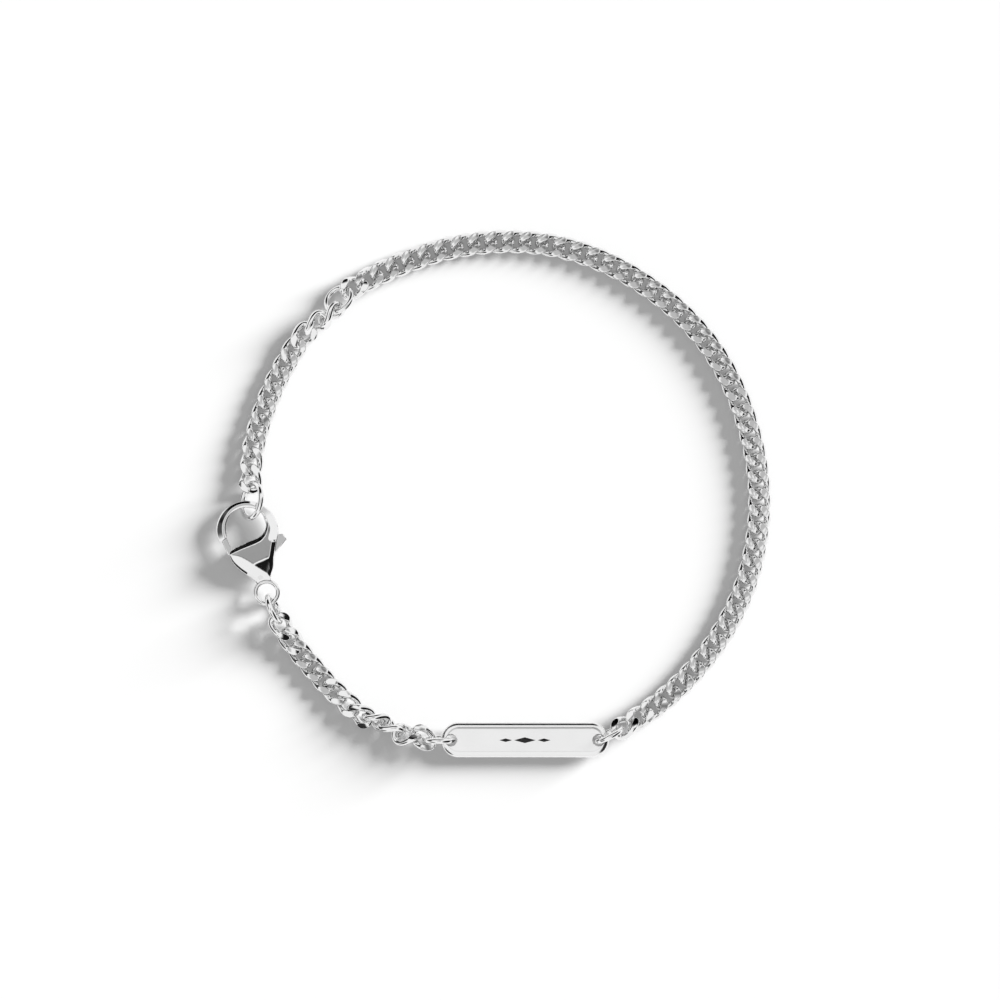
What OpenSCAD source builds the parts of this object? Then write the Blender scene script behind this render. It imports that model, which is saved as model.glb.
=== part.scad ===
// Curb chain bracelet with a name plate, an adjuster and a lobster clasp, fastened and lying flat.
// Millimetres. +Z is up and the bracelet rests on z = 0; the origin is the middle of the loop's
// outline on that surface. Seen from above, the plate is at -Y and the clasp at -X.

/* [Chain] */
// Thickness of a link's wire
wire_d = 0.76; // [0.70:0.02:0.78]
// Length of a link, outside
link_length = 3.80; // [3.76:0.02:3.90]
// Width of a link, outside
link_width = 2.88; // [2.80:0.02:2.96]
// How far a link's crown rises above its middle plane
crown_rise = 0.54; // [0.53:0.01:0.55]
// Depth of the flat that is cut on each crown
flat_cut = 0.20; // [0.14:0.02:0.24]
// Links in the long chain
long_links = 50; // [46:1:50]
// Links in the adjuster chain
adjuster_links = 12; // [10:1:12]

/* [Jump rings] */
// Outside width of a small jump ring
ring_width = 4.06; // [4.00:0.02:4.20]
// Wire of a small jump ring
ring_wire = 0.66; // [0.56:0.02:0.68]
// Outside width of the end ring
end_ring_width = 4.90; // [4.80:0.05:5.00]
// Wire of the end ring
end_ring_wire = 0.70; // [0.60:0.02:0.72]

/* [Name plate] */
// Length of the plate
plate_length = 20.2; // [20.0:0.1:20.4]
// Width of the plate
plate_width = 4.26; // [3.8:0.02:4.4]
// Thickness of the plate
plate_thickness = 1.2; // [1.0:0.05:1.25]
// Rounding of the plate's edges
plate_round = 0.35; // [0.1:0.05:0.5]
// Radius of the hole near each end
plate_hole_r = 0.68; // [0.66:0.01:0.72]
// Length of the middle one of the three lozenges cut in the face
mark_length = 2.6; // [2.0:0.1:3.0]
// Depth of the lozenges
mark_depth = 0.15; // [0.05:0.05:0.3]

/* [Clasp] */
// Thickness of the clasp's body at its crown
clasp_thickness = 3.0; // [2.8:0.1:3.2]
// Radius of the wire of the tail ring
tail_wire_r = 0.28; // [0.24:0.02:0.30]
// Radius of the pin that the lever turns on
pin_r = 0.28; // [0.2:0.02:0.3]
// Thickness of the lever
lever_thickness = 0.8; // [0.6:0.05:0.9]
// How far the lever opens, in degrees
lever_swing = 20; // [5:1:20]
// Angle at which the lever is drawn, in degrees
lever_open = 0; // [0:1:20]

/* [Hidden] */
silver = "#d8d8da";

// The loop lies round this point
loop_center = [0.43, 0.17];

// A link: half axes of its centreline, and its half thickness between the cut flats
link_a = (link_length - wire_d) / 2;
link_b = (link_width - wire_d) / 2;
wire_r = wire_d / 2;
link_h = crown_rise + wire_r - flat_cut;
link_steps = 12;
wire_sides = 6;
// Clearance that keeps the links and rings just off the surface
rest_gap = 0.01;

// Routes of the chains round the loop: [angle in degrees, radius]
long_pitch = 2.052;
long_start = -61.3;
long_route = [
    [-62, 32.0], [-45, 31.9], [-20, 31.8], [-3, 31.5], [15, 31.1], [35, 30.95],
    [55, 30.55], [75, 30.35], [95, 29.9], [110, 29.65], [119, 29.75], [126, 30.0]
];
adjuster_pitch = 2.062;
adjuster_start = 133.1;
adjuster_route = [
    [132, 29.0], [137, 29.6], [141, 29.85], [150, 29.65], [160, 29.6], [170, 29.7], [178, 29.6]
];
short_links = 12;
short_pitch = 2.02;
short_start = 212.0;
short_route = [
    [212, 30.4], [225, 30.55], [229, 30.8], [234, 31.0], [238.5, 31.3], [242, 31.0],
    [246, 30.95], [250, 31.1], [253, 30.8]
];

// How links lean, the same for every link between two rows:
// [link number, height above its rest, roll, pitch, turn]
// roll turns a link about the chain, pitch raises its far end, turn swings it seen from above
long_lean = [
    [0, 0.25, -24, -14, 4], [1, 0.30, -10, -8, 0], [2, 0.10, -4, -6, 2], [3, 0, 0, -4, 2],
    [4, 0, 0, 0, 0], [47, 0, 0, 0, 0], [48, 0, -2, 7, 4], [49, 0, 14, 14, -6]
];
adjuster_lean = [
    [0, 0.45, -76, 0, 8], [1, 0.15, -48, -8, 2], [2, 0, -16, -6, 2], [3, 0, 0, -4, 2],
    [4, 0, 0, 0, 0], [7, 0, 0, 0, 0], [8, 0, -2, 4, 2], [9, 0, 2, 4, -2], [10, 0, 6, 7, 2],
    [11, 0, 16, 12, 2]
];
// The short chain lies with half a twist before the plate
short_lean = [
    [0, 0.20, -18, -12, 0], [1, 0, -6, -10, 4], [2, 0, 0, -2, 2], [3, 0, 0, 0, 0], [4, 0, 0, 0, 0],
    [5, 0, -2, 7, 4], [6, 0.05, 12, 5, -4], [7, 0.10, 32, 4, -2], [8, 0.05, 62, -2, 0],
    [9, 0.05, 100, 3, -4], [10, 0.45, 140, 5, 14], [11, 1.15, 174, 1, -24]
];

// Jump rings: middle, turn of the long axis seen from above, and tilt about that axis
ring_r = (ring_width - ring_wire) / 2;
end_ring_r = (end_ring_width - end_ring_wire) / 2;
right_ring_turn = 27;
right_ring_tilt = -80;
left_ring_turn = -1;
left_ring_tilt = -84;
adjuster_ring_place = [-18.54, 23.26];
adjuster_ring_turn = 43;
adjuster_ring_tilt = -44;
end_ring_place = [-28.99, -0.87];
end_ring_turn = 81;
end_ring_tilt = -58;
clasp_ring_turn = -66;
clasp_ring_tilt = -76;

// Name plate
plate_place = [3.77, -29.55, 1.62];
plate_lean = 4;
plate_hole_x = 8.85;
mark_width = 0.7;
// The outer lozenges: size against the middle one, and distance from it
side_mark_scale = 0.6;
side_mark_x = 2.3;
// From a plate hole to the middle of its ring
plate_ring_reach = 1.46;

// Clasp: its own frame has the origin in the tail hole, x across and y towards the hook
clasp_place = [-27.17, -11.89];
clasp_turn = 11.7;
clasp_z = clasp_thickness / 2;
tail_r = 1.34;
hook_middle = [-0.76, 7.90];
// From the tail hole to the middle of the clasp ring
clasp_ring_reach = 2.12;

// Hook: [turn about hook_middle, radius of the centreline, width, thickness]
hook_rows = [
    [-48, 3.12, 1.64, 2.30], [-25, 3.10, 1.56, 1.90], [0, 3.03, 1.36, 1.60], [45, 3.00, 0.96, 1.30],
    [90, 3.03, 0.90, 1.16], [135, 3.10, 0.92, 1.12], [165, 3.12, 1.12, 1.12], [202, 3.10, 1.16, 1.04]
];
// Body: [distance from the tail hole, left edge, right edge, half thickness]
body_rows = [
    [1.10, -0.85, 0.80, 0.38], [1.60, -1.20, 0.74, 0.60], [2.20, -1.82, 0.98, 0.88],
    [3.00, -2.56, 1.50, 1.18], [4.00, -3.22, 1.88, 1.42], [5.00, -3.54, 2.26, 1.50],
    [5.50, -3.50, 2.46, 1.46], [5.80, -3.06, 2.58, 1.40], [6.10, -1.94, 2.70, 1.34],
    [6.35, -0.72, 2.80, 1.28], [6.60, 0.46, 2.88, 1.20], [7.00, 1.06, 2.94, 1.08],
    [7.50, 1.46, 2.94, 0.92], [8.10, 1.60, 2.86, 0.70]
];

// Lever: places in the clasp's frame
pivot = [-2.00, 4.45];
gate_knee = [-3.30, 5.50];
gate_end = [-3.74, 7.30];
gate_width = 0.74;
knee_width = 0.58;
gate_reach = 3.32;
thumb_end = [2.40, 5.90];
thumb_width = 0.80;
tab_outline = [[1.60, 5.20], [2.00, 4.45], [3.66, 5.80], [3.30, 6.54], [2.60, 6.60]];
hub_r = 0.62;
lever_gap = 0.06;
pin_gap = 0.05;
pin_seat_gap = 0.02;
pin_half = 1.02;
// Room for the lever, as angles about the pivot: below the open thumb tab, above the one at
// rest, and behind the gate
thumb_low = -24;
thumb_high = 29;
gate_high = 175;
// Reach of the room for the thumb tab, past the body's edge
thumb_room = 7;

// Place of a link's centreline at t degrees. The corners stand out a little from the true oval,
// so that the straight runs between them keep its length and width
corner_out = 1 / cos(180 / link_steps);
function link_curve(t) =
    [corner_out * link_a * cos(t), corner_out * link_b * sin(t), -crown_rise * sin(2 * t)];

// One section of a link's wire; a crown's top and bottom are cut flat at link_h
function link_section(t) =
    let (
        middle = link_curve(t),
        along = [-link_a * sin(t), link_b * cos(t), -2 * crown_rise * cos(2 * t)],
        flat_run = norm([along.x, along.y]),
        side = [along.y, -along.x, 0] / flat_run,
        over = cross(side, along) / norm(along)
    )
    [for (k = [0 : wire_sides - 1])
        let (
            s = sin(k * 360 / wire_sides) * wire_r,
            room = (link_h - abs(middle.z)) / abs(over.z),
            cut = abs(middle.z + s * over.z) > link_h,
            lift = cut ? sign(s) * room : s,
            out = cut ? sign(cos(k * 360 / wire_sides)) * sqrt(wire_r * wire_r - lift * lift)
                : cos(k * 360 / wire_sides) * wire_r
        )
        middle + side * out + over * lift
    ];

// Joins sections of equal count into one solid; closed brings the last section back to the first
module skin(sections, closed) {
    n = len(sections[0]);
    m = len(sections);
    last = closed ? m - 1 : m - 2;
    points = [for (section = sections) each section];
    sides = [for (i = [0 : last], k = [0 : n - 1])
        let (i2 = (i + 1) % m, k2 = (k + 1) % n)
        each [[i * n + k, i * n + k2, i2 * n + k2], [i * n + k, i2 * n + k2, i2 * n + k]]
    ];
    caps = closed ? [] : [
        [for (k = [n - 1 : -1 : 0]) k],
        [for (k = [0 : n - 1]) (m - 1) * n + k]
    ];
    polyhedron(points, concat(sides, caps));
}

link_sections = [for (i = [0 : link_steps - 1]) link_section((i + 0.5) * 360 / link_steps)];

module link() {
    skin(link_sections, true);
}

// Height of a leaning link's lowest corner below its middle
function link_drop(roll, pitch) =
    -min([for (section = link_sections, v = section)
        v.x * sin(pitch) + (v.y * sin(roll) + v.z * cos(roll)) * cos(pitch)]);

// Radius of a route at an angle, and the angles of links spaced by an equal pitch along it
function route_radius(route, angle) = lookup(angle, route);
function link_angles(route, start, pitch, count) = [
    for (i = 0, angle = start; i < count;
        i = i + 1, angle = angle + pitch / route_radius(route, angle) * 180 / PI) angle
];
function route_place(route, angle) =
    loop_center + route_radius(route, angle) * [cos(angle), sin(angle)];

// Heading of the chain at a link: along the line through its neighbours
function route_heading(route, angle) =
    let (
        half_step = 2,
        ahead = route_place(route, angle + half_step),
        behind = route_place(route, angle - half_step)
    )
    atan2(ahead.y - behind.y, ahead.x - behind.x);

// Value of a column of a table at a key, between its rows
function column(rows, key, c) = lookup(key, [for (row = rows) [row[0], row[c]]]);

// Links along a route; each rests on the surface or is raised above it by its row of the lean table
module chain(route, start, pitch, count, lean) {
    angles = link_angles(route, start, pitch, count);
    for (i = [0 : count - 1]) {
        place = route_place(route, angles[i]);
        roll = column(lean, i, 2);
        up = column(lean, i, 3);
        turn = route_heading(route, angles[i]) + column(lean, i, 4);
        height = rest_gap + link_drop(roll, up) + column(lean, i, 1);
        translate([place.x, place.y, height])
            rotate([roll, -up, turn])
                link();
    }
}

module long_chain() {
    color(silver)
        chain(long_route, long_start, long_pitch, long_links, long_lean);
}

module adjuster_chain() {
    color(silver)
        chain(adjuster_route, adjuster_start, adjuster_pitch, adjuster_links, adjuster_lean);
}

module short_chain() {
    color(silver)
        chain(short_route, short_start, short_pitch, short_links, short_lean);
}

// A closed ring of round wire; tilt turns it about its long axis
module jump_ring(place, turn, tilt, radius, wire) {
    color(silver)
        translate([place.x, place.y, radius * abs(sin(tilt)) + wire / 2 + rest_gap])
            rotate([tilt, 0, turn])
                rotate_extrude($fn = 72)
                    translate([radius, 0])
                        circle(d = wire, $fn = 32);
}

function plate_hole(side) = [plate_place.x + side * plate_hole_x, plate_place.y];

module plate_ring_right() {
    reach = [cos(right_ring_turn), sin(right_ring_turn)] * plate_ring_reach;
    jump_ring(plate_hole(1) + reach, right_ring_turn, right_ring_tilt, ring_r, ring_wire);
}

module plate_ring_left() {
    reach = [cos(left_ring_turn), sin(left_ring_turn)] * plate_ring_reach;
    jump_ring(plate_hole(-1) - reach, left_ring_turn, left_ring_tilt, ring_r, ring_wire);
}

module adjuster_ring() {
    jump_ring(adjuster_ring_place, adjuster_ring_turn, adjuster_ring_tilt, ring_r, ring_wire);
}

module end_ring() {
    jump_ring(end_ring_place, end_ring_turn, end_ring_tilt, end_ring_r, end_ring_wire);
}

module clasp_ring() {
    reach = [cos(clasp_ring_turn), sin(clasp_ring_turn)] * clasp_ring_reach;
    jump_ring(clasp_place + reach, clasp_ring_turn, clasp_ring_tilt, ring_r, ring_wire);
}

// Outline with round ends, shrunk on every side by inset
module plate_outline(inset) {
    end_x = (plate_length - plate_width) / 2;
    square([2 * end_x, plate_width - 2 * inset], center = true);
    for (side = [-1, 1])
        translate([side * end_x, 0])
            circle(d = plate_width - 2 * inset, $fn = 64);
}

// The plate's edges are rounded in steps
module plate_blank() {
    steps = 4;
    half = plate_thickness / 2;
    for (i = [0 : steps]) {
        angle = i * 90 / steps;
        inset = plate_round * (1 - cos(angle));
        height = half - plate_round + plate_round * sin(angle);
        translate([0, 0, -height])
            linear_extrude(2 * height)
                plate_outline(inset);
    }
}

// Row of three lozenges, the outer two smaller
module lozenge_row() {
    lengthwise = mark_length / 2;
    across = mark_width / 2;
    for (i = [-1 : 1])
        translate([i * side_mark_x, 0])
            scale(i == 0 ? 1 : side_mark_scale)
                polygon([[-lengthwise, 0], [0, -across], [lengthwise, 0], [0, across]]);
}

module name_plate() {
    half = plate_thickness / 2;
    color(silver)
        translate(plate_place)
            rotate([plate_lean, 0, 0])
                difference() {
                    plate_blank();
                    for (side = [-1, 1])
                        translate([side * plate_hole_x, 0, -plate_thickness])
                            cylinder(r = plate_hole_r, h = 2 * plate_thickness, $fn = 48);
                    translate([0, 0, half - mark_depth])
                        linear_extrude(plate_thickness)
                            lozenge_row();
                }
}

// Puts its children in the clasp's own frame, at the clasp's middle height
module in_clasp() {
    translate([clasp_place.x, clasp_place.y, clasp_z])
        rotate([0, 0, clasp_turn])
            children();
}

function hook_section(turn) =
    let (
        radius = column(hook_rows, turn, 1),
        width = column(hook_rows, turn, 2),
        thickness = column(hook_rows, turn, 3),
        sides = 12
    )
    [for (k = [0 : sides - 1])
        let (
            a = k * 360 / sides,
            reach = radius + width / 2 * cos(a)
        )
        [hook_middle.x + reach * cos(turn), hook_middle.y + reach * sin(turn), thickness / 2 * sin(a)]
    ];

module hook() {
    steps = 20;
    first = hook_rows[0][0];
    span = hook_rows[len(hook_rows) - 1][0] - first;
    skin([for (i = [0 : steps]) hook_section(first + span * i / steps)], false);
}

function body_section(row) =
    let (
        middle = (row[1] + row[2]) / 2,
        half = (row[2] - row[1]) / 2,
        sides = 20
    )
    [for (k = [0 : sides - 1])
        let (a = k * 360 / sides)
        [middle + half * cos(a), row[0], row[3] * sin(a)]
    ];

module body_shell() {
    skin([for (row = body_rows) body_section(row)], false);
}

// Turns its children about the pivot, as the lever opens
module opened(angle) {
    translate(pivot)
        rotate([0, 0, -angle])
            translate(-pivot)
                children();
}

// Flat bar with round ends between two points
module bar(from, to, width) {
    run = to - from;
    translate(from)
        rotate([0, 0, atan2(run.y, run.x)])
            translate([0, -width / 2])
                square([norm(run), width]);
    for (end = [from, to])
        translate(end)
            circle(d = width, $fn = 32);
}

// Sector about the pivot from one angle to another
module sector(from, to, radius) {
    steps = 16;
    translate(pivot)
        polygon(concat([[0, 0]],
            [for (i = [0 : steps]) let (a = from + (to - from) * i / steps) radius * [cos(a), sin(a)]]));
}

// Room for the lever in the body, at rest and open
module lever_slot() {
    depth = lever_thickness + 2 * lever_gap;
    shared_angle = 2;
    translate([0, 0, -depth / 2])
        linear_extrude(depth) {
            translate(pivot)
                circle(r = hub_r + lever_gap, $fn = 48);
            sector(thumb_low, thumb_high, thumb_room);
            sector(thumb_high - shared_angle, gate_high, gate_reach + lever_gap);
            for (angle = [0, lever_swing])
                opened(angle)
                    bar(pivot, thumb_end, thumb_width + 2 * lever_gap);
        }
}

// The hook's tip is cut along the path of the gate's end
module mouth_cut() {
    mouth_corner = [-6, 6];
    mouth_size = [3.2, 3];
    intersection() {
        translate([pivot.x, pivot.y, -clasp_z])
            cylinder(r = gate_reach + lever_gap, h = clasp_thickness, $fn = 96);
        translate([mouth_corner.x, mouth_corner.y, -clasp_z])
            cube([mouth_size.x, mouth_size.y, clasp_thickness]);
    }
}

module clasp_body() {
    color(silver)
        in_clasp()
            difference() {
                union() {
                    hook();
                    body_shell();
                    rotate_extrude($fn = 64)
                        translate([tail_r, 0])
                            circle(r = tail_wire_r, $fn = 24);
                }
                lever_slot();
                mouth_cut();
                translate([pivot.x, pivot.y, -clasp_thickness])
                    cylinder(r = pin_r + pin_seat_gap, h = 2 * clasp_thickness, $fn = 32);
            }
}

// Outline of the gate: up from the hub to the knee and on to the hook's tip
module gate_outline() {
    intersection() {
        union() {
            bar(pivot, gate_knee, knee_width);
            bar(gate_knee, gate_end, gate_width);
        }
        translate(pivot)
            circle(r = gate_reach, $fn = 96);
    }
}

// Gate, hub, thumb bar and tab, in one piece
module clasp_lever() {
    color(silver)
        in_clasp()
            opened(lever_open)
                difference() {
                    translate([0, 0, -lever_thickness / 2])
                        linear_extrude(lever_thickness) {
                            translate(pivot)
                                circle(r = hub_r, $fn = 48);
                            gate_outline();
                            bar(pivot, thumb_end, thumb_width);
                            polygon(tab_outline);
                        }
                    translate([pivot.x, pivot.y, -lever_thickness])
                        cylinder(r = pin_r + pin_gap, h = 2 * lever_thickness, $fn = 48);
                }
}

module clasp_pin() {
    color(silver)
        in_clasp()
            translate([pivot.x, pivot.y, -pin_half])
                cylinder(r = pin_r, h = 2 * pin_half, $fn = 32);
}

name_plate();
long_chain();
adjuster_chain();
short_chain();
plate_ring_right();
plate_ring_left();
adjuster_ring();
end_ring();
clasp_ring();
clasp_body();
clasp_lever();
clasp_pin();
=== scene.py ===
"""Finish and stage of a curb chain bracelet with a name plate and a lobster clasp.

Lengths are in metres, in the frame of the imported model: +Z up, the bracelet lying on z = 0.
"""
import math

import bmesh
import bpy
import numpy as np
from mathutils import Matrix, Vector


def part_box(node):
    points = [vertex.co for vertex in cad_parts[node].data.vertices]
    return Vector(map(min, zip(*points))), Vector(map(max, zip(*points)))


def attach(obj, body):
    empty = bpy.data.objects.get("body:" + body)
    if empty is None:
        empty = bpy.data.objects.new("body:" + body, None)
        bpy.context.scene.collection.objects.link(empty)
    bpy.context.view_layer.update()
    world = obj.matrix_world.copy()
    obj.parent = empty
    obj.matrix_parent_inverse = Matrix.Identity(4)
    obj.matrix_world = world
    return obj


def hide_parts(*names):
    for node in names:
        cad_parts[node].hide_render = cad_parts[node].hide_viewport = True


bl_info = {
    "name": "Chain Bracelet",
    "version": (1, 0, 0),
    "blender": (4, 5, 0),
    "location": "View3D > Sidebar > Bracelet",
    "description": "Curb chain bracelet with a name plate, jump rings and a lobster clasp",
    "category": "Mesh",
}

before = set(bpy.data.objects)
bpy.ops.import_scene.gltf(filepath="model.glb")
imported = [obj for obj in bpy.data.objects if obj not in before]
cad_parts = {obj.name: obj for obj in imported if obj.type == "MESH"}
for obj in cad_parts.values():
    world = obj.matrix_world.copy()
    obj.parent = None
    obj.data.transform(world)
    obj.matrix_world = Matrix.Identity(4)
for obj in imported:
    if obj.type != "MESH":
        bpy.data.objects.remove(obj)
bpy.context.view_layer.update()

MM = 0.001
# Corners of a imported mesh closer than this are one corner
MERGE = 0.001 * MM
# Faces that meet at more than this show an edge; on a link, the rim of a flat does
SHARP_ANGLE = math.radians(32)
LINK_SHARP_ANGLE = math.radians(25)
# A face whose normal is at least this upright is level
LEVEL = 0.9999

# Nodes of links, and the piece that stands for each
CHAINS = {
    "long_chain": "long_curb_chain",
    "adjuster_chain": "adjuster_curb_chain",
    "short_chain": "short_curb_chain",
}
# Nodes of small jump rings, and the piece that stands for each
SMALL_RINGS = {
    "plate_ring_right": "right_jump_ring",
    "plate_ring_left": "left_jump_ring",
    "adjuster_ring": "adjuster_jump_ring",
    "clasp_ring": "clasp_jump_ring",
}

# Clasp: the middle of its tail ring and its turn seen from above
CLASP_PLACE = Vector((-27.17, -11.89, 1.5)) * MM
CLASP_TURN = math.radians(11.7)
PIVOT = (-2.00, 4.45)
HOOK_MIDDLE = (-0.76, 7.90)
# Body, in mm, as lines across it from the opening to the outside: inner x, y and outer x, y
BODY_LINES = (
    (-3.44, 5.62, -3.50, 5.54),
    (-3.26, 5.76, -3.60, 5.10),
    (-2.84, 5.96, -3.52, 4.50),
    (-2.26, 6.14, -3.26, 3.92),
    (-1.68, 6.28, -2.84, 3.30),
    (-1.12, 6.40, -2.36, 2.76),
    (-0.62, 6.50, -1.86, 2.26),
    (-0.20, 6.60, -1.44, 1.90),
    (0.12, 6.68, -1.14, 1.56),
    (0.38, 6.76, -0.84, 1.22),
    (0.58, 6.84, 0.00, 1.14),
    (0.76, 6.94, 0.72, 1.26),
    (0.92, 7.04, 0.92, 1.90),
    (1.06, 7.16, 1.40, 2.70),
    (1.18, 7.28, 1.76, 3.70),
    (1.29, 7.42, 2.08, 4.60),
    (1.38, 7.58, 2.40, 5.50),
    (1.45, 7.76, 2.68, 6.20),
    (1.50, 8.00, 2.92, 7.00),
    (1.50, 8.32, 2.97, 7.75),
)
# Hook, in mm: turn about its middle in degrees, inner radius, outer radius
HOOK_LINES = (
    (19, 2.34, 3.62),
    (35, 2.50, 3.50),
    (55, 2.56, 3.47),
    (75, 2.58, 3.48),
    (95, 2.58, 3.52),
    (115, 2.57, 3.58),
    (135, 2.55, 3.65),
    (155, 2.51, 3.72),
    (172, 2.49, 3.74),
    (188, 2.52, 3.72),
    (204, 2.58, 3.66),
)
# Half thickness of the hook at the first and the last of its lines, in mm
HOOK_THICKNESS = (0.90, 0.56)
# Ridge of the body, in mm: x, y
RIDGE = (
    (-5.00, 5.80), (-3.90, 5.50), (-3.32, 5.28), (-2.35, 4.86), (-1.57, 4.24), (-0.94, 3.62),
    (-0.26, 2.94), (0.30, 2.34), (0.78, 1.74), (1.26, 1.10), (1.90, 0.20))
# Half thickness of the body along the ridge, both in mm
RIDGE_HEIGHT = (
    (0.0, 1.485), (4.5, 1.485), (4.72, 1.475), (4.9, 1.42), (5.2, 1.27), (5.8, 0.98), (6.5, 0.65),
    (7.0, 0.47), (7.5, 0.35), (8.0, 0.31), (9.5, 0.31))
# Points along the ridge, for the distance of a place from it
RIDGE_STEPS = 240
# Falls of the body's faces, in mm to each mm from the ridge: the one towards the opening and the
# other, with the least half thickness that is left; and how much later the first turns down
FACE_FALL = 0.148
OUTER_FALL = 0.38
LEAST_HEIGHT = 0.2
FACE_DELAY = 0.60
# Edges of the body and the hook by the number of the line, in mm: upright rim, sloping band
# within it, and the band's slope
OUTER_EDGE = (
    (0, 0.12, 0.12, 0.20), (2, 0.20, 0.20, 0.28), (5, 0.20, 0.26, 0.28), (8, 0.16, 0.28, 0.28),
    (9, 0.12, 0.24, 0.28), (10.5, 0.06, 0.20, 0.28), (12, 0.08, 0.30, 0.10), (13.4, 0.12, 0.40, 0.12),
    (14, 0.17, 0.48, 0.62), (15, 0.18, 0.48, 0.65), (15.9, 0.18, 0.46, 0.65), (16.2, 0.18, 0.44, 0.65),
    (16.4, 0.12, 0.98, 0.22), (18, 0.12, 0.92, 0.20), (20, 0.12, 0.84, 0.19), (21.5, 0.12, 0.62, 0.20),
    (22.5, 0.10, 0.35, 0.30), (23.5, 0.10, 0.26, 0.60), (25, 0.12, 0.34, 0.60), (26, 0.16, 0.44, 0.60),
    (28, 0.20, 0.52, 0.60), (30, 0.24, 0.46, 0.60))
INNER_EDGE = (
    (0, 0.05, 0.25, 0.60), (3, 0.05, 0.42, 0.70), (8, 0.05, 0.48, 0.70), (12, 0.05, 0.36, 0.70),
    (16, 0.06, 0.22, 0.70), (19, 0.12, 0.18, 0.70), (22, 0.12, 0.15, 0.40), (30, 0.12, 0.12, 0.30))
# How a rim rises from the middle plane: 1 evenly, less more steeply at its foot
RIM_RISE = 0.55
# Easing from a band to the face, in mm, and the most of the thickness that a band takes
EDGE_EASE = 0.04
BAND_SHARE = 0.7
# Slices of the slot for the lever's arm and tab, with room for its 20 degrees of swing: first and
# last angle in degrees, radius in mm
ARM_ROOM = ((-26, 29, 7), (-34, 0, 2.6), (-44, 0, 1.7), (-80, 0, 1.15))
# Corners of the lever's node closer than this are one before its edges are rounded
LEVER_WELD = 0.04 * MM

# Brightness of the surroundings by the sine of the elevation
SKY_BANDS = ((0.0, 0.85), (0.25, 0.92), (1.0, 0.95))
# Cards round the bracelet: azimuth, elevation and half width in degrees, half the width of the
# soft edge in degrees, and the brightness that is left
CARDS = (
    (-20, 24, 36, 4, 0.01),
    (84, 26, 19, 4, 0.01),
    (106, 26, 19, 4, 0.01),
    (126, 25, 15, 4, 0.01),
    (152, 24, 14, 4, 0.10),
    (177, 22, 19, 8, 0.08),
    (232, 14, 18, 4, 0.03),
    (0, 90, 14, 3, 0.56),
    (57, 76, 9, 4, 0.38),
    (-90, 82, 4, 1.5, 1.70),
)


class ChainSizes(bpy.types.PropertyGroup):
    """Sizes of a curb link"""

    wire: bpy.props.FloatProperty(
        name="Wire", description="Thickness of a link's wire", default=0.84 * MM, unit="LENGTH")
    length: bpy.props.FloatProperty(
        name="Length", description="Length of a link, outside", default=3.80 * MM, unit="LENGTH")
    width: bpy.props.FloatProperty(
        name="Width", description="Width of a link, outside", default=2.88 * MM, unit="LENGTH")
    crown_rise: bpy.props.FloatProperty(
        name="Crown rise", description="Height of a link's crown over its middle plane",
        default=0.54 * MM, unit="LENGTH")
    flat_cut: bpy.props.FloatProperty(
        name="Flat", description="Depth of the flat that is cut on each crown",
        default=0.24 * MM, unit="LENGTH")
    edge: bpy.props.FloatProperty(
        name="Edge", description="Rounding of a flat's edge by polishing",
        default=0.02 * MM, unit="LENGTH")
    steps: bpy.props.IntProperty(
        name="Steps", description="Sections round a link", default=48, min=24, max=64)
    sides: bpy.props.IntProperty(
        name="Sides", description="Sides of a link's wire", default=20, min=8, max=24)


class RingSizes(bpy.types.PropertyGroup):
    """Wires of the jump rings"""

    small_wire: bpy.props.FloatProperty(
        name="Small ring", description="Wire of a small jump ring", default=0.66 * MM, unit="LENGTH")
    end_wire: bpy.props.FloatProperty(
        name="End ring", description="Wire of the end ring", default=0.70 * MM, unit="LENGTH")
    small_width: bpy.props.FloatProperty(
        name="Small width", description="Outside width of a small jump ring",
        default=4.06 * MM, unit="LENGTH")
    end_width: bpy.props.FloatProperty(
        name="End width", description="Outside width of the end ring", default=4.90 * MM, unit="LENGTH")


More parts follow.
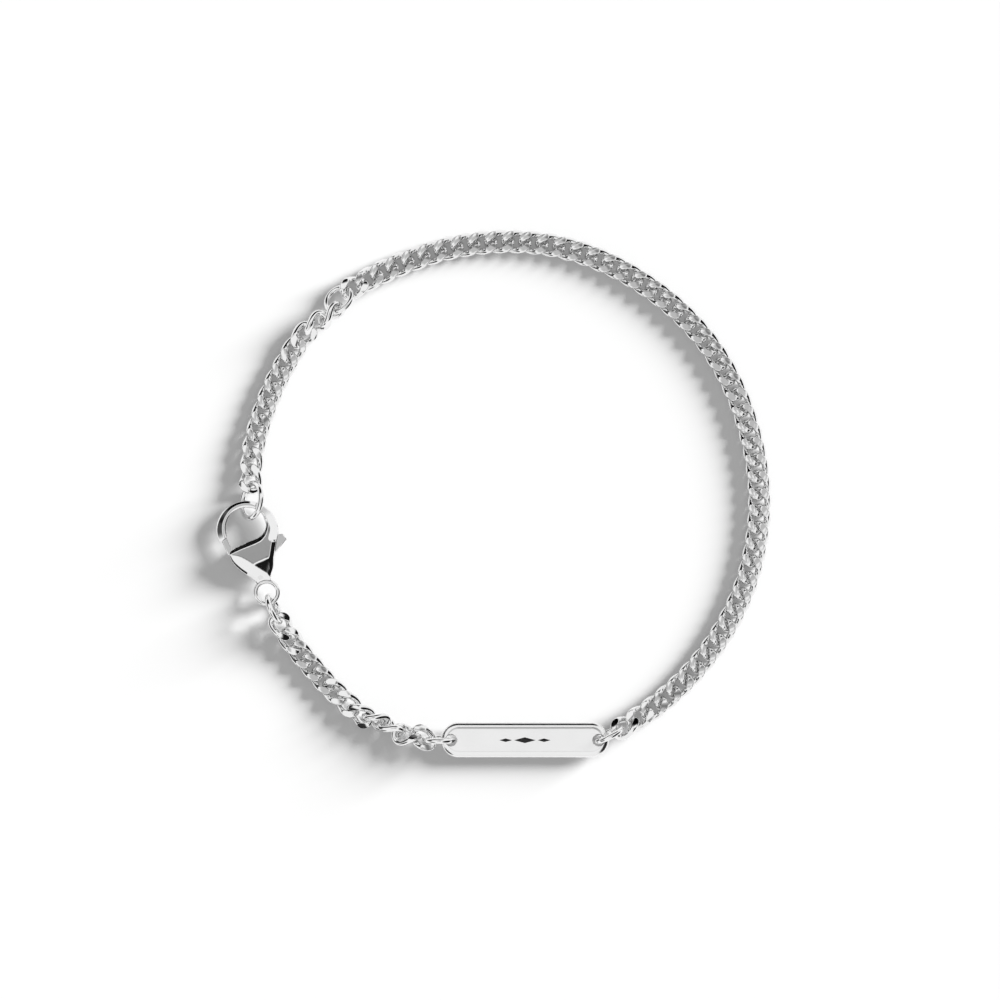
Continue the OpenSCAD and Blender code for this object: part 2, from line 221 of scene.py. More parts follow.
class PlateSizes(bpy.types.PropertyGroup):
    """Sizes of the name plate"""

    place: bpy.props.FloatVectorProperty(
        name="Place", description="Middle of the plate", size=3,
        default=(3.77 * MM, -29.55 * MM, 1.62 * MM), subtype="TRANSLATION")
    lean: bpy.props.FloatProperty(
        name="Lean", description="Lean of the plate about its long side",
        default=math.radians(4), subtype="ANGLE")
    length: bpy.props.FloatProperty(
        name="Length", description="Length of the plate", default=20.2 * MM, unit="LENGTH")
    width: bpy.props.FloatProperty(
        name="Width", description="Width of the plate", default=4.26 * MM, unit="LENGTH")
    thickness: bpy.props.FloatProperty(
        name="Thickness", description="Thickness of the plate", default=1.2 * MM, unit="LENGTH")
    rim: bpy.props.FloatProperty(
        name="Rim", description="Width of the plate's rounded rim", default=0.80 * MM, unit="LENGTH")
    rim_drop: bpy.props.FloatProperty(
        name="Rim drop", description="Drop of the rounded rim from the face to the side",
        default=0.57 * MM, unit="LENGTH")
    hole_x: bpy.props.FloatProperty(
        name="Hole place", description="From the plate's middle to a hole",
        default=8.85 * MM, unit="LENGTH")
    hole_r: bpy.props.FloatProperty(
        name="Hole radius", description="Radius of a hole", default=0.68 * MM, unit="LENGTH")
    hole_edge: bpy.props.FloatProperty(
        name="Hole edge", description="Chamfer at a hole's mouth", default=0.07 * MM, unit="LENGTH")
    mark_length: bpy.props.FloatProperty(
        name="Lozenge", description="Length of the middle lozenge", default=2.6 * MM, unit="LENGTH")
    mark_width: bpy.props.FloatProperty(
        name="Lozenge width", description="Width of the middle lozenge",
        default=0.7 * MM, unit="LENGTH")
    mark_depth: bpy.props.FloatProperty(
        name="Lozenge depth", description="Depth of the lozenges", default=0.15 * MM, unit="LENGTH")
    side_mark_x: bpy.props.FloatProperty(
        name="Outer lozenge", description="From the middle lozenge to an outer one",
        default=2.3 * MM, unit="LENGTH")
    side_mark_scale: bpy.props.FloatProperty(
        name="Outer size", description="Size of an outer lozenge against the middle one",
        default=0.6, subtype="FACTOR")


class ClaspSizes(bpy.types.PropertyGroup):
    """Sizes of the lobster clasp"""

    tail_r: bpy.props.FloatProperty(
        name="Tail", description="Radius of the tail ring", default=1.34 * MM, unit="LENGTH")
    tail_wire_r: bpy.props.FloatProperty(
        name="Tail wire", description="Radius of the tail ring's wire",
        default=0.28 * MM, unit="LENGTH")
    lever_thickness: bpy.props.FloatProperty(
        name="Lever", description="Thickness of the lever", default=0.8 * MM, unit="LENGTH")
    lever_gap: bpy.props.FloatProperty(
        name="Lever gap", description="Gap round the lever", default=0.06 * MM, unit="LENGTH")
    gate_reach: bpy.props.FloatProperty(
        name="Gate reach", description="From the pivot to the gate's end",
        default=3.32 * MM, unit="LENGTH")
    lever_edge: bpy.props.FloatProperty(
        name="Lever edge", description="Rounding of the lever's edges",
        default=0.12 * MM, unit="LENGTH")


class FinishColours(bpy.types.PropertyGroup):
    """Colours of the finishes, as sRGB hex"""

    silver: bpy.props.StringProperty(
        name="Silver", description="Polished sterling silver", default="#F3F3F3")
    plate: bpy.props.StringProperty(
        name="Plate", description="Face of the name plate", default="#F5F5F5")
    blackened: bpy.props.StringProperty(
        name="Blackened", description="Floor of the cut lozenges", default="#161616")
    floor: bpy.props.StringProperty(
        name="Floor", description="Pale floor", default="#8E8E8E")


class StageSizes(bpy.types.PropertyGroup):
    """Camera, floor and light"""

    view_middle: bpy.props.FloatVectorProperty(
        name="View middle", description="Point of the floor in the middle of the frame", size=2,
        default=(0.79 * MM, -0.79 * MM), unit="LENGTH")
    view_width: bpy.props.FloatProperty(
        name="View width", description="Width of the frame on the floor", default=0.120, unit="LENGTH")
    camera_height: bpy.props.FloatProperty(
        name="Camera height", description="Height of the camera", default=3.0, unit="LENGTH")
    floor_width: bpy.props.FloatProperty(
        name="Floor width", description="Width of the floor", default=4.0, unit="LENGTH")
    floor_glow: bpy.props.FloatProperty(
        name="Floor glow", description="Light that the floor gives by itself", default=0.20)
    key_strength: bpy.props.FloatProperty(
        name="Key", description="Strength of the key light", default=20.0)
    key_elevation: bpy.props.FloatProperty(
        name="Key height", description="Key light over the horizon",
        default=math.radians(22), subtype="ANGLE")
    key_azimuth: bpy.props.FloatProperty(
        name="Key side", description="Key light round the table from +X",
        default=math.radians(26), subtype="ANGLE")
    key_softness: bpy.props.FloatProperty(
        name="Key softness", description="Width of the key light as seen from the bracelet",
        default=math.radians(26), subtype="ANGLE")


class BraceletSettings(bpy.types.PropertyGroup):
    """All sizes and colours"""

    chain: bpy.props.PointerProperty(type=ChainSizes)
    rings: bpy.props.PointerProperty(type=RingSizes)
    plate: bpy.props.PointerProperty(type=PlateSizes)
    clasp: bpy.props.PointerProperty(type=ClaspSizes)
    finish: bpy.props.PointerProperty(type=FinishColours)
    stage: bpy.props.PointerProperty(type=StageSizes)


def linear(hex_colour):
    """Linear RGBA of an sRGB hex colour."""
    channels = [int(hex_colour[i:i + 2], 16) / 255 for i in (1, 3, 5)]
    return [c / 12.92 if c <= 0.04045 else ((c + 0.055) / 1.055) ** 2.4 for c in channels] + [1.0]


def add_node(tree, kind, settings=None, **inputs):
    """Adds a node; settings are its properties, inputs are socket values or outputs to link."""
    node = tree.nodes.new(kind)
    for name, value in (settings or {}).items():
        setattr(node, name, value)
    for name, value in inputs.items():
        socket = node.inputs[int(name[1:])] if name[0] == "_" else node.inputs[name.replace("_", " ")]
        if isinstance(value, bpy.types.NodeSocket):
            tree.links.new(value, socket)
        else:
            socket.default_value = value
    return node


def new_material(name):
    """An empty node material and its tree."""
    material = bpy.data.materials.new(name)
    material.use_nodes = True
    material.node_tree.nodes.clear()
    return material, material.node_tree


def polished_metal(name, colour, roughness, haze, smear_mm, ripple_mm, ripple_height, metallic=1.0):
    """A metal whose polish varies in soft smears and whose surface ripples a little."""
    material, tree = new_material(name)
    place = add_node(tree, "ShaderNodeTexCoord").outputs["Object"]
    smears = add_node(
        tree, "ShaderNodeTexNoise", Vector=place, Scale=1 / (smear_mm * MM), Detail=4.0, Roughness=0.6)
    polish = add_node(
        tree, "ShaderNodeMapRange", Value=smears.outputs["Fac"], From_Min=0.3, From_Max=0.7,
        To_Min=roughness, To_Max=roughness + haze)
    ripples = add_node(tree, "ShaderNodeTexNoise", Vector=place, Scale=1 / (ripple_mm * MM), Detail=2.0)
    bump = add_node(
        tree, "ShaderNodeBump", Height=ripples.outputs["Fac"], Strength=1.0,
        Distance=ripple_height * MM)
    shader = add_node(
        tree, "ShaderNodeBsdfPrincipled", Base_Color=linear(colour), Metallic=metallic,
        Roughness=polish.outputs["Result"], Normal=bump.outputs["Normal"])
    add_node(tree, "ShaderNodeOutputMaterial", Surface=shader.outputs["BSDF"])
    return material


def make_finishes(colours):
    """The metals of the bracelet, by name."""
    return {
        # Sterling silver, tumbled and machine polished: mirror bright, with the faint waviness
        # that breaks up what each link reflects
        "wire": polished_metal("polished_silver_wire", colours.silver, 0.05, 0.03, 1.2, 0.9, 0.001),
        # The same silver, cast and buffed by hand: broader waves, a little more haze
        "casting": polished_metal("buffed_silver_casting", colours.silver, 0.03, 0.05, 2.0, 1.6, 0.006),
        # Rolled silver sheet with a fine satin haze: an even pale face
        "plate": polished_metal("satin_silver_plate", colours.plate, 0.12, 0.03, 3.0, 0.5, 0.0003, 0.97),
        # The plate's rounded rim, polished bright
        "rim": polished_metal("polished_silver_rim", colours.silver, 0.15, 0.04, 1.5, 1.2, 0.002),
        "blackened": blackened_silver(colours),
    }


def blackened_silver(colours):
    """Silver darkened with liver of sulphur: matt black with a grey bloom."""
    material, tree = new_material("blackened_silver")
    place = add_node(tree, "ShaderNodeTexCoord").outputs["Object"]
    bloom = add_node(tree, "ShaderNodeTexNoise", Vector=place, Scale=1 / (0.15 * MM), Detail=3.0)
    tone = add_node(
        tree, "ShaderNodeMix", {"data_type": "RGBA"}, _0=bloom.outputs["Fac"],
        _6=linear(colours.blackened), _7=linear("#2A2A2A"))
    shader = add_node(
        tree, "ShaderNodeBsdfPrincipled", Base_Color=tone.outputs[2], Metallic=0.6, Roughness=0.5)
    add_node(tree, "ShaderNodeOutputMaterial", Surface=shader.outputs["BSDF"])
    return material


def new_piece(name, bm, materials, body, nodes, sharp=SHARP_ANGLE, has_flats=False):
    """Makes a bmesh into a shaded object that rides on a body and stands for CAD nodes.

    With has_flats the bmesh says itself which of its faces are shaded smooth.
    """
    bmesh.ops.recalc_face_normals(bm, faces=bm.faces)
    mesh = bpy.data.meshes.new(name)
    bm.to_mesh(mesh)
    bm.free()
    if not has_flats:
        mesh.shade_smooth()
    mesh.set_sharp_from_angle(angle=sharp)
    for material in materials:
        mesh.materials.append(material)
    piece = bpy.data.objects.new(name, mesh)
    bpy.context.scene.collection.objects.link(piece)
    if not has_flats:
        # Broad faces keep their own direction up to the rounding of their edges
        weighted = piece.modifiers.new("weighted", "WEIGHTED_NORMAL")
        weighted.keep_sharp = True
        weighted.weight = 100
    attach(piece, body)
    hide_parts(*nodes)
    return piece


def merged_copy(node):
    """A bmesh of a CAD node's mesh with its split corners joined."""
    bm = bmesh.new()
    bm.from_mesh(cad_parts[node].data)
    bmesh.ops.remove_doubles(bm, verts=bm.verts, dist=MERGE)
    return bm


def loose_solids(node):
    """Corners of each loose solid in a CAD node."""
    bm = merged_copy(node)
    waiting = set(bm.verts)
    solids = []
    while waiting:
        reached = [waiting.pop()]
        for vert in reached:
            for edge in vert.link_edges:
                other = edge.other_vert(vert)
                if other in waiting:
                    waiting.discard(other)
                    reached.append(other)
        solids.append(np.array([v.co[:] for v in reached]))
    bm.free()
    return solids


def own_frame(corners):
    """Matrix of a solid's own axes: X its longest, Z its shortest, from the spread of its corners."""
    middle = corners.mean(0)
    spread = (corners - middle).T @ (corners - middle)
    _, axes = np.linalg.eigh(spread)
    x, z = Vector(axes[:, 2]), Vector(axes[:, 0])
    y = z.cross(x)
    return Matrix.Translation(Vector(middle)) @ Matrix((x, y, z)).transposed().to_4x4()


def ring_of_wire(bm, radius, wire_r, steps, sides):
    """A torus about Z: a circle of wire spun all the way round."""
    stand = Matrix.Translation((radius, 0, 0)) @ Matrix.Rotation(math.radians(90), 4, "X")
    circle = bmesh.ops.create_circle(bm, segments=sides, radius=wire_r, matrix=stand)
    edges = {e for v in circle["verts"] for e in v.link_edges}
    bmesh.ops.spin(
        bm, geom=list(circle["verts"]) + list(edges), cent=(0, 0, 0), axis=(0, 0, 1),
        angle=math.tau, steps=steps, use_merge=True)


def link_mesh(sizes):
    """One curb link: a round wire bent into a twisted oval, its four crowns filed flat."""
    wire_r = sizes.wire / 2
    half_length = sizes.length / 2 - wire_r
    half_width = sizes.width / 2 - wire_r
    rise = sizes.crown_rise
    bm = bmesh.new()
    ring_of_wire(bm, half_length, wire_r, sizes.steps, sizes.sides)
    for vert in bm.verts:
        turn = math.atan2(vert.co.y, vert.co.x)
        outwards = math.hypot(vert.co.x, vert.co.y) - half_length
        upwards = vert.co.z
        middle = Vector((half_length * math.cos(turn), half_width * math.sin(turn),
                         -rise * math.sin(2 * turn)))
        along = Vector((-half_length * math.sin(turn), half_width * math.cos(turn),
                        -2 * rise * math.cos(2 * turn))).normalized()
        side = Vector((along.y, -along.x, 0)).normalized()
        vert.co = middle + side * outwards + side.cross(along) * upwards
    flat = rise + wire_r - sizes.flat_cut
    for up in (1, -1):
        cut = bmesh.ops.bisect_plane(
            bm, geom=bm.verts[:] + bm.edges[:] + bm.faces[:], dist=MERGE,
            plane_co=(0, 0, up * flat), plane_no=(0, 0, up), clear_outer=True)
        rim = [g for g in cut["geom_cut"] if isinstance(g, bmesh.types.BMEdge)]
        bmesh.ops.holes_fill(bm, edges=rim, sides=0)
        bmesh.ops.bevel(
            bm, geom=rim, offset=sizes.edge, segments=1, affect="EDGES", profile=0.5, material=-1)
    bmesh.ops.recalc_face_normals(bm, faces=bm.faces)
    for face in bm.faces:
        face.smooth = abs(face.normal.z) < LEVEL
    mesh = bpy.data.meshes.new("curb_link")
    bm.to_mesh(mesh)
    bm.free()
    return mesh


class BRACELET_OT_chains(bpy.types.Operator):
    """Put a finely made curb link where each plain link of the chains lies"""

    bl_idname = "bracelet.chains"
    bl_label = "Curb chains"

    def execute(self, context):
        settings = context.scene.bracelet
        finish = FINISHES["wire"]
        one_link = link_mesh(settings.chain)
        for node, name in CHAINS.items():
            bm = bmesh.new()
            for corners in loose_solids(node):
                first = len(bm.verts)
                bm.from_mesh(one_link)
                bm.verts.ensure_lookup_table()
                link = bm.verts[first:]
                bmesh.ops.transform(bm, matrix=own_frame(corners), verts=link)
                # The round wire reaches a little lower than the plain one
                lift = max(0, -min(vert.co.z for vert in link))
                bmesh.ops.translate(bm, vec=(0, 0, lift), verts=link)
            new_piece(
                name, bm, [finish], "bracelet", [node], LINK_SHARP_ANGLE,
                has_flats=True)
        bpy.data.meshes.remove(one_link)
        return {"FINISHED"}


class BRACELET_OT_rings(bpy.types.Operator):
    """Make the jump rings of round wire"""

    bl_idname = "bracelet.rings"
    bl_label = "Jump rings"

    def execute(self, context):
        sizes = context.scene.bracelet.rings
        rings = [(node, name, sizes.small_width, sizes.small_wire) for node, name in SMALL_RINGS.items()]
        rings.append(("end_ring", "end_jump_ring", sizes.end_width, sizes.end_wire))
        for node, name, width, wire in rings:
            low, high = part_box(node)
            copy = merged_copy(node)
            corners = np.array([v.co[:] for v in copy.verts])
            copy.free()
            place = own_frame(corners)
            place.translation = (low + high) / 2
            bm = bmesh.new()
            ring_of_wire(bm, (width - wire) / 2, wire / 2, 96, 24)
            bmesh.ops.transform(bm, matrix=place, verts=bm.verts)
            new_piece(name, bm, [FINISHES["wire"]], "bracelet", [node])
        return {"FINISHED"}


def combined(operation, bm, others):
    """The bmesh with the others added or cut away; all are used up."""
    objects = []
    for part in [bm] + others:
        bmesh.ops.recalc_face_normals(part, faces=part.faces)
        mesh = bpy.data.meshes.new("cutting")
        part.to_mesh(mesh)
        part.free()
        objects.append(bpy.data.objects.new("cutting", mesh))
        bpy.context.scene.collection.objects.link(objects[-1])
    block = objects[0]
    for other in objects[1:]:
        step = block.modifiers.new("combine", "BOOLEAN")
        step.operation = operation
        step.solver = "EXACT"
        step.object = other
    graph = bpy.context.evaluated_depsgraph_get()
    result = bmesh.new()
    result.from_mesh(block.evaluated_get(graph).to_mesh())
    block.evaluated_get(graph).to_mesh_clear()
    for part in objects:
        mesh = part.data
        bpy.data.objects.remove(part)
        bpy.data.meshes.remove(mesh)
    return result


def extruded(bm, outline_face, depth):
    """Extrudes a face downwards by depth."""
    grown = bmesh.ops.extrude_face_region(bm, geom=[outline_face], use_keep_orig=True)
    moved = [g for g in grown["geom"] if isinstance(g, bmesh.types.BMVert)]
    bmesh.ops.translate(bm, vec=(0, 0, -depth), verts=moved)


def lathed(profile, steps):
    """A solid spun about Z from a profile of (radius, height) points that starts and ends on the axis."""
    bm = bmesh.new()
    verts = [bm.verts.new((r, 0, z)) for r, z in profile]
    edges = [bm.edges.new(pair) for pair in zip(verts, verts[1:])]
    bmesh.ops.spin(
        bm, geom=verts + edges, cent=(0, 0, 0), axis=(0, 0, 1), angle=math.tau, steps=steps,
        use_merge=True)
    bmesh.ops.remove_doubles(bm, verts=bm.verts, dist=MERGE)
    return bm


class BRACELET_OT_plate(bpy.types.Operator):
    """Make the name plate with its rounded rim, its two holes and its row of lozenges"""

    bl_idname = "bracelet.plate"
    bl_label = "Name plate"

    def execute(self, context):
        sizes = context.scene.bracelet.plate
        half = sizes.thickness / 2
        # The rim is an ellipse across: a round bevel on a thicker blank, which is then pressed
        pressed = sizes.rim_drop / sizes.rim
        bm = bmesh.new()
        half_step = Matrix.Rotation(math.radians(180 / 96), 4, "Z")
        bmesh.ops.create_circle(bm, cap_ends=True, segments=96, radius=sizes.width / 2, matrix=half_step)
        end_x = (sizes.length - sizes.width) / 2
        for vert in bm.verts:
            vert.co += Vector((math.copysign(end_x, vert.co.x), 0, half / pressed))
        bm.faces.ensure_lookup_table()
        extruded(bm, bm.faces[0], sizes.thickness / pressed)
        rims = [e for e in bm.edges if abs(e.verts[0].co.z - e.verts[1].co.z) < MERGE]
        bmesh.ops.bevel(
            bm, geom=rims, offset=sizes.rim, segments=14, affect="EDGES", profile=0.5, material=-1)
        bmesh.ops.scale(bm, vec=(1, 1, pressed), verts=bm.verts)
        cutters = [self.hole(sizes, side) for side in (-1, 1)]
        cutters += [self.lozenge(sizes, i) for i in (-1, 0, 1)]
        bm = combined("DIFFERENCE", bm, cutters)
        face_z = half - MERGE
        floor_z = half - sizes.mark_depth
        for face in bm.faces:
            z = face.calc_center_median().z
            if abs(face.normal.z) < 0.999:
                face.material_index = 1
            elif abs(z - floor_z) < MERGE:
                face.material_index = 2
            elif abs(z) < face_z:
                face.material_index = 1
        for face in bm.faces:
            near_floor = any(f.material_index == 2 for e in face.edges for f in e.link_faces)
            if near_floor and face.material_index == 1:
                face.material_index = 2
        place = Matrix.Translation(sizes.place) @ Matrix.Rotation(sizes.lean, 4, "X")
        bmesh.ops.transform(bm, matrix=place, verts=bm.verts)
        finishes = [FINISHES["plate"], FINISHES["rim"], FINISHES["blackened"]]
        new_piece("engraved_name_plate", bm, finishes, "bracelet", ["name_plate"])
        return {"FINISHED"}

    @staticmethod
    def hole(sizes, side):
        """A drill for one hole, flared at both faces of the plate."""
        half = sizes.thickness / 2
        mouth = sizes.hole_r + sizes.hole_edge
        profile = [
            (0, -2 * half), (mouth, -2 * half), (mouth, -half), (sizes.hole_r, -half + sizes.hole_edge),
            (sizes.hole_r, half - sizes.hole_edge), (mouth, half), (mouth, 2 * half), (0, 2 * half)]
        bm = lathed(profile, 48)
        bmesh.ops.translate(bm, vec=(side * sizes.hole_x, 0, 0), verts=bm.verts)
        return bm

    @staticmethod
    def lozenge(sizes, i):
        """A cutter for one lozenge of the row."""
        scale = 1 if i == 0 else sizes.side_mark_scale
        stretch = Matrix.Diagonal((sizes.mark_length * scale / 2, sizes.mark_width * scale / 2, 1, 1))
        bm = bmesh.new()
        bmesh.ops.create_circle(bm, cap_ends=True, segments=4, radius=1, matrix=stretch)
        bmesh.ops.translate(
            bm, vec=(i * sizes.side_mark_x, 0, sizes.thickness), verts=bm.verts)
        bm.faces.ensure_lookup_table()
        extruded(bm, bm.faces[0], sizes.thickness / 2 + sizes.mark_depth)
        return bm


def in_clasp():
    """Matrix from the clasp's own frame, with its origin in the tail hole."""
    return Matrix.Translation(CLASP_PLACE) @ Matrix.Rotation(CLASP_TURN, 4, "Z")


def smooth_value(rows, key, column):
    """Value of a table's column at a key of its first column, on a curve through its rows."""
    keys = [row[0] for row in rows]
    values = [row[column] for row in rows]
    key = min(max(key, keys[0]), keys[-1])
    i = min(max(sum(k <= key for k in keys) - 1, 0), len(rows) - 2)
    slopes = []
    for at in (i, i + 1):
        low, high = max(at - 1, 0), min(at + 1, len(rows) - 1)
        slopes.append((values[high] - values[low]) / (keys[high] - keys[low]))
    span = keys[i + 1] - keys[i]
    t = (key - keys[i]) / span
    return ((2 * t ** 3 - 3 * t ** 2 + 1) * values[i] + (t ** 3 - 2 * t ** 2 + t) * span * slopes[0]
            + (3 * t ** 2 - 2 * t ** 3) * values[i + 1] + (t ** 3 - t ** 2) * span * slopes[1])


def clasp_lines():
    """Lines across the body and the hook: number, inner x, y, outer x, y."""
    lines = list(BODY_LINES)
    for turn, inner, outer in HOOK_LINES:
        x, y = math.cos(math.radians(turn)), math.sin(math.radians(turn))
        lines.append((HOOK_MIDDLE[0] + inner * x, HOOK_MIDDLE[1] + inner * y,
                      HOOK_MIDDLE[0] + outer * x, HOOK_MIDDLE[1] + outer * y))
    return [(i, *line) for i, line in enumerate(lines)]


def finely(points, count):
    """A line through points as many close points, on a smooth curve."""
    rows = [(i, *point) for i, point in enumerate(points)]
    return np.array([
        [smooth_value(rows, n, c) for c in (1, 2)] for n in np.linspace(0, len(points) - 1, count)])


RIDGE_POINTS = finely(RIDGE, RIDGE_STEPS)
RIDGE_PARTS = np.diff(RIDGE_POINTS, axis=0)
RIDGE_LENGTHS = np.hypot(RIDGE_PARTS[:, 0], RIDGE_PARTS[:, 1])


def face_height(number, x, y):
    """Half thickness of the body or the hook at a place, before its edges are shaped."""
    aside = np.array((x, y)) - RIDGE_POINTS[:-1]
    nearest = np.hypot(aside[:, 0], aside[:, 1]).argmin()
    along = RIDGE_PARTS[nearest] / RIDGE_LENGTHS[nearest]
    over_ridge = along[0] * aside[nearest, 1] - along[1] * aside[nearest, 0]
    walked = RIDGE_LENGTHS[:nearest].sum() + along @ aside[nearest]
    if over_ridge > 0:
        body = smooth_value(RIDGE_HEIGHT, walked - FACE_DELAY * over_ridge, 1) - FACE_FALL * over_ridge
    else:
        body = max(smooth_value(RIDGE_HEIGHT, walked, 1) + OUTER_FALL * over_ridge, LEAST_HEIGHT)
    last = len(BODY_LINES) + len(HOOK_LINES) - 1
    along_hook = min(max((number - len(BODY_LINES)) / (last - len(BODY_LINES)), 0), 1)
    hook = HOOK_THICKNESS[0] + (HOOK_THICKNESS[1] - HOOK_THICKNESS[0]) * math.sqrt(along_hook)
    share = min(max((number - len(BODY_LINES) + 5) / 8, 0), 1)
    return body + (hook - body) * share * share * (3 - 2 * share)


def edge_height(height, x, y, curve, edge):
    """What a shaped edge along a curve leaves of a height."""
    away = np.hypot(curve[:, 1] - x, curve[:, 2] - y)
    nearest = away.argmin()
    rim, band, slope = [smooth_value(edge, curve[nearest, 0], c) for c in (1, 2, 3)]
    band = min(band, BAND_SHARE * height / slope)
    eased = slope * EDGE_EASE / 2
    inwards = away[nearest] - rim
    if inwards >= band:
        rest = max(0, 1 - (inwards - band) / EDGE_EASE)
        return height - eased * rest ** 2
    top = height - eased - slope * (band - max(inwards, 0))
    if inwards >= 0:
        return top
    return top * (away[nearest] / rim) ** RIM_RISE


def loft_of_clasp():
    """Body and hook in one: a grid laid over the lines, with a top and a bottom half."""
    lines = clasp_lines()
    along, across = 240, 100
    half = across // 2
    numbers = np.linspace(0, len(lines) - 1, 4 * along + 1)
    inner, outer = [
        np.array([[n] + [smooth_value(lines, n, c) for c in columns] for n in numbers])
        for columns in ((1, 2), (3, 4))]
    bm = bmesh.new()
    bmesh.ops.create_grid(bm, x_segments=along, y_segments=across, size=1)
    heights = {}
    for vert in bm.verts:
        i = round((vert.co.x + 1) / 2 * along)
        j = round((vert.co.y + 1) / 2 * across) % across
        share = (1 - math.cos(math.pi * min(j, across - j) / half)) / 2
        key = (i, min(j, across - j))
        if key not in heights:
            x, y = inner[4 * i, 1:] + share * (outer[4 * i, 1:] - inner[4 * i, 1:])
            height = face_height(numbers[4 * i], x, y)
            height = min(edge_height(height, x, y, inner, INNER_EDGE),
                         edge_height(height, x, y, outer, OUTER_EDGE)) if 0 < share < 1 else 0
            heights[key] = (x, y, height)
        x, y, height = heights[key]
        vert.co = (x, y, height if j <= half else -height)
    bmesh.ops.remove_doubles(bm, verts=bm.verts, dist=1e-4)
    bmesh.ops.holes_fill(bm, edges=bm.edges, sides=0)
    return bm


def sector_cutter(start, end, radius, height):
    """A slice of a disc about the lever's pivot, from one angle to another in degrees."""
    bm = bmesh.new()
    middle = bm.verts.new((0, 0, height / 2))
    steps = 24
    rim = []
    for i in range(steps + 1):
        angle = math.radians(start + (end - start) * i / steps)
        rim.append(bm.verts.new((radius * math.cos(angle), radius * math.sin(angle), height / 2)))
    face = bm.faces.new([middle] + rim)
    extruded(bm, face, height)
    bmesh.ops.translate(bm, vec=(*PIVOT, 0), verts=bm.verts)
    return bm


class BRACELET_OT_clasp(bpy.types.Operator):
    """Make the lobster clasp's cast body and soften its lever"""

    bl_idname = "bracelet.clasp"
    bl_label = "Lobster clasp"

    def execute(self, context):
        sizes = context.scene.bracelet.clasp
        tail = bmesh.new()
        ring_of_wire(tail, sizes.tail_r / MM, sizes.tail_wire_r / MM, 72, 20)
        casting = combined("UNION", loft_of_clasp(), [tail])
        depth = (sizes.lever_thickness + 2 * sizes.lever_gap) / MM
        reach = (sizes.gate_reach + sizes.lever_gap) / MM
        hub = lathed([(0, -depth / 2), (0.68, -depth / 2), (0.68, depth / 2), (0, depth / 2)], 40)
        bmesh.ops.translate(hub, vec=(*PIVOT, 0), verts=hub.verts)
        mouth = bmesh.new()
        bmesh.ops.create_circle(mouth, cap_ends=True, segments=128, radius=reach)
        bmesh.ops.translate(mouth, vec=(*PIVOT, 2), verts=mouth.verts)
        mouth.faces.ensure_lookup_table()
        extruded(mouth, mouth.faces[0], 4)
        for edge, outwards in (((-2.8, 0, 0), (1, 0, 0)), ((0, 6, 0), (0, -1, 0))):
            cut = bmesh.ops.bisect_plane(
                mouth, geom=mouth.verts[:] + mouth.edges[:] + mouth.faces[:], dist=1e-5,
                plane_co=edge, plane_no=outwards, clear_outer=True)
            rim = [g for g in cut["geom_cut"] if isinstance(g, bmesh.types.BMEdge)]
            bmesh.ops.holes_fill(mouth, edges=rim, sides=0)
        cutters = [
            hub,
            *(sector_cutter(*room, depth) for room in ARM_ROOM),
            sector_cutter(27, 175, reach, depth),
            mouth,
        ]
        casting = combined("DIFFERENCE", casting, cutters)
        place = in_clasp() @ Matrix.Scale(MM, 4)
        bmesh.ops.transform(casting, matrix=place, verts=casting.verts)
        bmesh.ops.dissolve_degenerate(casting, dist=MERGE, edges=casting.edges)
        new_piece(
            "cast_clasp_body", casting, [FINISHES["casting"]], "bracelet",
            ["clasp_body"], math.radians(40))
        self.make_lever(sizes)
        return {"FINISHED"}

    @staticmethod
    def make_lever(sizes):
        """The lever keeps the shape of its node, with its edges rounded."""
        bm = merged_copy("clasp_lever")
        bmesh.ops.remove_doubles(bm, verts=bm.verts, dist=LEVER_WELD)
        bmesh.ops.dissolve_limit(bm, angle_limit=math.radians(1), verts=bm.verts, edges=bm.edges)
        heights = [vert.co.z for vert in bm.verts]
        level = [
            e for e in bm.edges if e.calc_face_angle(0) > 0.7
            and (min(v.co.z for v in e.verts) > max(heights) - MERGE
                 or max(v.co.z for v in e.verts) < min(heights) + MERGE)]
        bmesh.ops.bevel(
            bm, geom=level, offset=sizes.lever_edge, segments=5, affect="EDGES", profile=0.5,
            material=-1, clamp_overlap=False)
        new_piece(
            "sprung_clasp_lever", bm, [FINISHES["casting"]], "lever",
            ["clasp_lever"])


def towards(azimuth, elevation):
    """Unit vector at an azimuth from +X and an elevation over the horizon, both in degrees."""
    return Vector((math.cos(math.radians(azimuth)), math.sin(math.radians(azimuth)),
                   math.tan(math.radians(elevation)))).normalized()


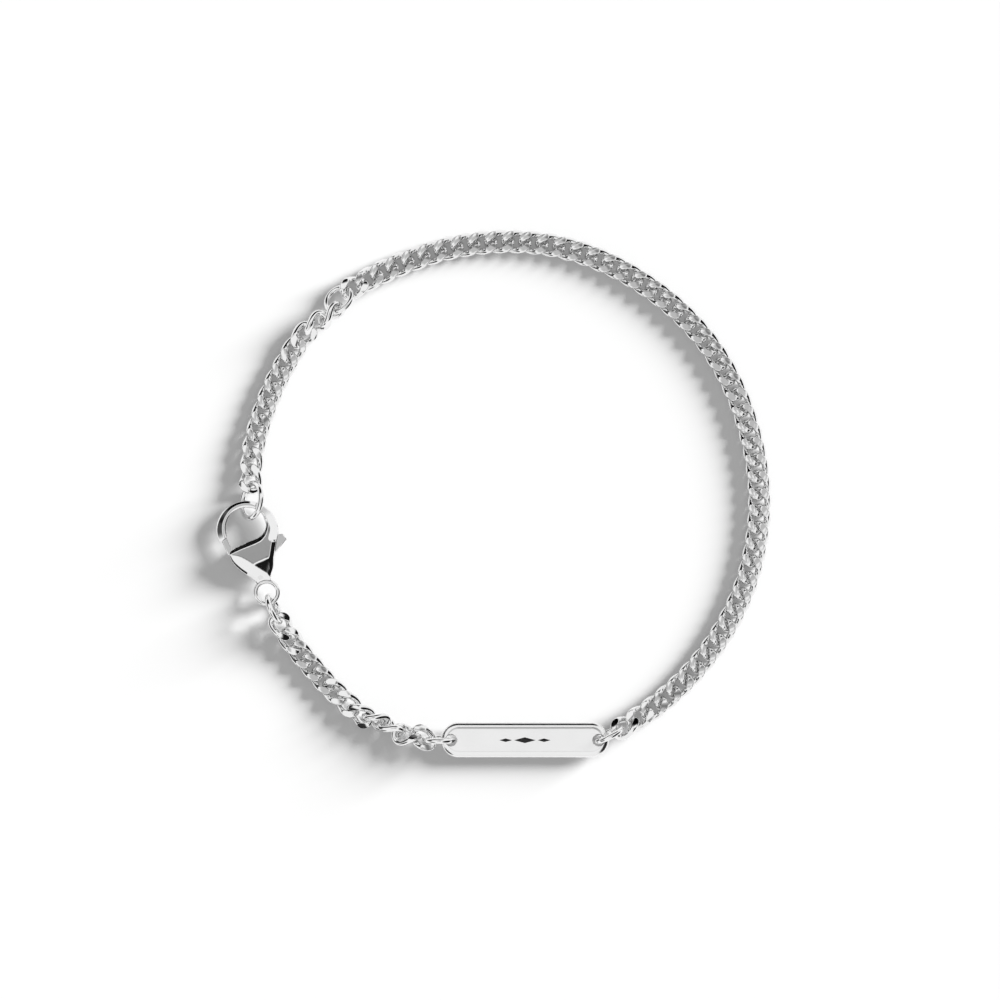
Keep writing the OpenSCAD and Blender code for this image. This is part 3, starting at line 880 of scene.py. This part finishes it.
def studio_sky():
    """White surroundings, greyer overhead, with the cards that give polished silver its darks."""
    world = bpy.data.worlds.new("studio")
    world.use_nodes = True
    tree = world.node_tree
    tree.nodes.clear()
    direction = add_node(tree, "ShaderNodeTexCoord").outputs["Generated"]
    height = add_node(tree, "ShaderNodeSeparateXYZ", Vector=direction).outputs["Z"]
    ramp = add_node(tree, "ShaderNodeValToRGB", Fac=height)
    bands = ramp.color_ramp
    for stop, (position, tone) in zip(bands.elements, (SKY_BANDS[0], SKY_BANDS[-1])):
        stop.position, stop.color = position, (tone, tone, tone, 1)
    for position, tone in SKY_BANDS[1:-1]:
        bands.elements.new(position).color = (tone, tone, tone, 1)
    sky = ramp.outputs["Color"]
    for azimuth, elevation, reach, edge, tone in CARDS:
        across = add_node(
            tree, "ShaderNodeVectorMath", {"operation": "DOT_PRODUCT"}, _0=direction,
            _1=towards(azimuth, elevation)[:])
        card = add_node(
            tree, "ShaderNodeMapRange", {"interpolation_type": "SMOOTHSTEP"},
            Value=across.outputs["Value"], From_Min=math.cos(math.radians(reach + edge)),
            From_Max=math.cos(math.radians(reach - edge)), To_Min=1.0, To_Max=tone)
        sky = add_node(
            tree, "ShaderNodeMix", {"data_type": "RGBA", "blend_type": "MULTIPLY"}, _0=1.0, _6=sky,
            _7=card.outputs["Result"]).outputs[2]
    background = add_node(tree, "ShaderNodeBackground", Color=sky, Strength=1.0)
    add_node(tree, "ShaderNodeOutputWorld", Surface=background.outputs["Background"])
    bpy.context.scene.world = world


class BRACELET_OT_stage(bpy.types.Operator):
    """Set out the pale floor, the soft light and the camera overhead"""

    bl_idname = "bracelet.stage"
    bl_label = "Stage"

    def execute(self, context):
        scene = context.scene
        settings = scene.bracelet
        stage = settings.stage
        bm = bmesh.new()
        bmesh.ops.create_grid(bm, x_segments=1, y_segments=1, size=stage.floor_width / 2)
        mesh = bpy.data.meshes.new("floor")
        bm.to_mesh(mesh)
        bm.free()
        # White acrylic lit a little from below, so that shadows on it stay light
        material, tree = new_material("lit_white_acrylic")
        shader = add_node(
            tree, "ShaderNodeBsdfPrincipled", Base_Color=linear(settings.finish.floor), Roughness=0.9,
            Specular_IOR_Level=0.0, Emission_Color=linear("#FFFFFF"),
            Emission_Strength=stage.floor_glow)
        add_node(tree, "ShaderNodeOutputMaterial", Surface=shader.outputs["BSDF"])
        mesh.materials.append(material)
        floor = bpy.data.objects.new("floor", mesh)
        scene.collection.objects.link(floor)
        studio_sky()
        light = bpy.data.lights.new("key", "SUN")
        light.energy = stage.key_strength
        light.angle = stage.key_softness
        key = bpy.data.objects.new("key", light)
        key.rotation_euler = (0, math.radians(90) - stage.key_elevation, stage.key_azimuth)
        # The silver mirrors the surroundings alone, so that no glare burns out its drawing
        key.visible_glossy = False
        scene.collection.objects.link(key)
        lens = bpy.data.cameras.new("overhead")
        lens.sensor_width = 36
        lens.lens = lens.sensor_width * stage.camera_height / stage.view_width
        lens.clip_end = 2 * stage.camera_height
        camera = bpy.data.objects.new("overhead", lens)
        camera.location = (*stage.view_middle, stage.camera_height)
        scene.collection.objects.link(camera)
        scene.camera = camera
        scene.view_settings.view_transform = "Standard"
        return {"FINISHED"}


class BRACELET_PT_panel(bpy.types.Panel):
    """Sizes and colours of the bracelet, with a button for each group of pieces"""

    bl_label = "Chain Bracelet"
    bl_idname = "BRACELET_PT_panel"
    bl_space_type = "VIEW_3D"
    bl_region_type = "UI"
    bl_category = "Bracelet"

    def draw(self, context):
        settings = context.scene.bracelet
        for group in ("chain", "rings", "plate", "clasp", "finish", "stage"):
            box = self.layout.box()
            box.label(text=group.capitalize())
            values = getattr(settings, group)
            for name in values.__annotations__:
                box.prop(values, name)
        for operator in OPERATORS:
            self.layout.operator(operator.bl_idname)


OPERATORS = (BRACELET_OT_chains, BRACELET_OT_rings, BRACELET_OT_plate, BRACELET_OT_clasp, BRACELET_OT_stage)
CLASSES = (
    ChainSizes, RingSizes, PlateSizes, ClaspSizes, FinishColours, StageSizes, BraceletSettings,
    *OPERATORS, BRACELET_PT_panel)
FINISHES = {}


def register():
    """Registers the classes and the settings of a scene."""
    for cls in CLASSES:
        bpy.utils.register_class(cls)
    bpy.types.Scene.bracelet = bpy.props.PointerProperty(type=BraceletSettings)


def unregister():
    """Removes the settings and the classes."""
    del bpy.types.Scene.bracelet
    for cls in reversed(CLASSES):
        bpy.utils.unregister_class(cls)


def main():
    """Dresses the bracelet and sets the stage."""
    register()
    FINISHES.update(make_finishes(bpy.context.scene.bracelet.finish))
    for operator in OPERATORS:
        getattr(bpy.ops.bracelet, operator.bl_idname.split(".")[1])()
    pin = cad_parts["clasp_pin"]
    pin.data.materials.clear()
    pin.data.materials.append(FINISHES["casting"])


if __name__ == "__main__":
    main()
